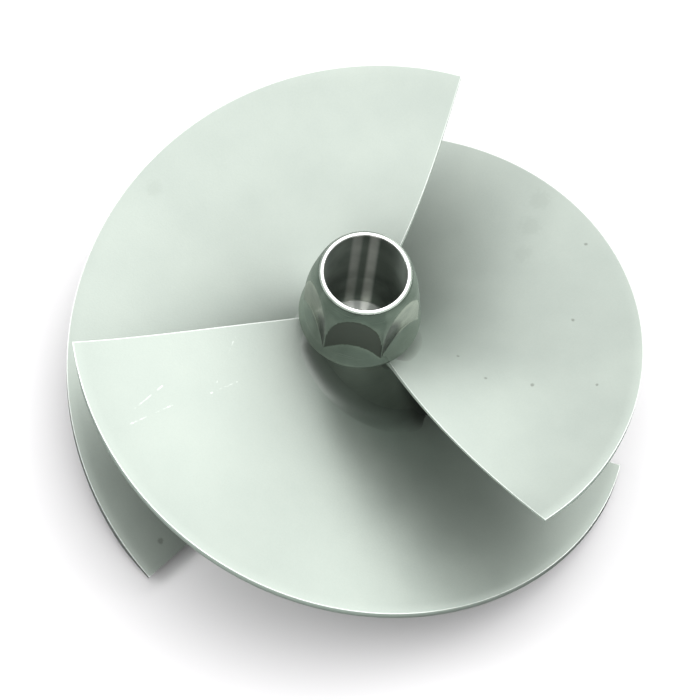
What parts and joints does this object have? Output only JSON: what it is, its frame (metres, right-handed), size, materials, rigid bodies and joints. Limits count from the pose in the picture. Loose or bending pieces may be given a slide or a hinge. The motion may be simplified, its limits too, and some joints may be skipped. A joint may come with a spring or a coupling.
{
  "type": "jet pump impeller",
  "caption": "Mixed-flow jet pump impeller: wide overlapping helical blades on a flared hub with a hexagon nose and a splined shaft bore.",
  "frame": {"origin": "on the hub axis, in the plane of the hub's rear face, which the part stands on", "axes": "+Z along the hub axis towards the nose, where the water comes in; seen from the nose the impeller pumps when it turns clockwise"},
  "size_m": [0.155, 0.155, 0.0784],
  "materials": {
    "blade_steel": "blasted and lightly brushed, satin",
    "turned_steel": "machined and polished",
    "weld_steel": "ground to a smooth fillet"
  },
  "bodies": {
    "root": {"hub_barrel": "turned_steel", "drive_nose": "turned_steel", "shaft_sleeve": "turned_steel", "blade_1": "blade_steel", "blade_2": "blade_steel", "blade_3": "blade_steel", "front_weld_1": "weld_steel", "back_weld_1": "weld_steel", "front_weld_2": "weld_steel", "back_weld_2": "weld_steel", "front_weld_3": "weld_steel", "back_weld_3": "weld_steel"}
  },
  "joints": []
}
